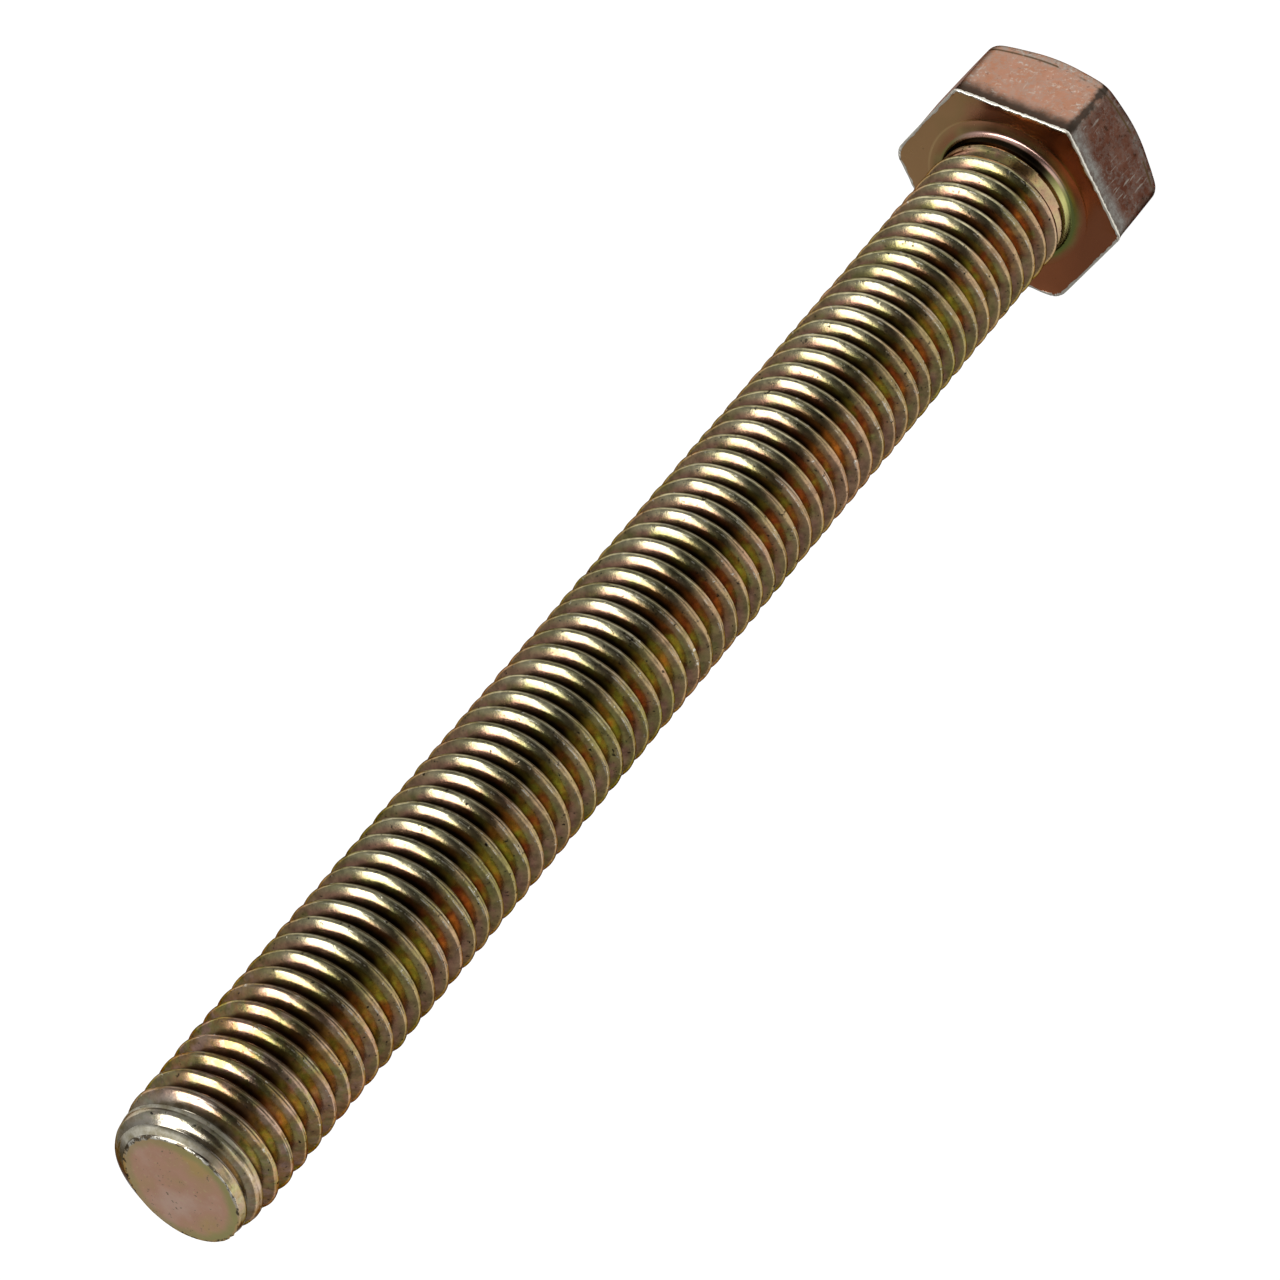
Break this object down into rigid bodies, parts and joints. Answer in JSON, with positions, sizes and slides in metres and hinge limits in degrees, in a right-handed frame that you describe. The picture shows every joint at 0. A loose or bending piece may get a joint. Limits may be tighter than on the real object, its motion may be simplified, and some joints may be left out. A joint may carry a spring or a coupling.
{
  "type": "hex bolt",
  "caption": "Hex-head bolt with a chamfered head, filleted neck, full-length rolled thread and a blunt pointed tip, in iridescent yellow zinc plated steel.",
  "frame": {"origin": "centre of the bearing face under the head, on the shank's axis", "axes": "+Z down the shank from the head to the tip; +X through a corner of the hexagon"},
  "size_m": [0.0214, 0.0186, 0.1343],
  "materials": {
    "yellow_zinc_steel": "glossy yellow chromate over zinc plating, gold to olive with pink and green iridescence"
  },
  "bodies": {
    "root": {"hex_bolt": "yellow_zinc_steel"}
  },
  "joints": []
}
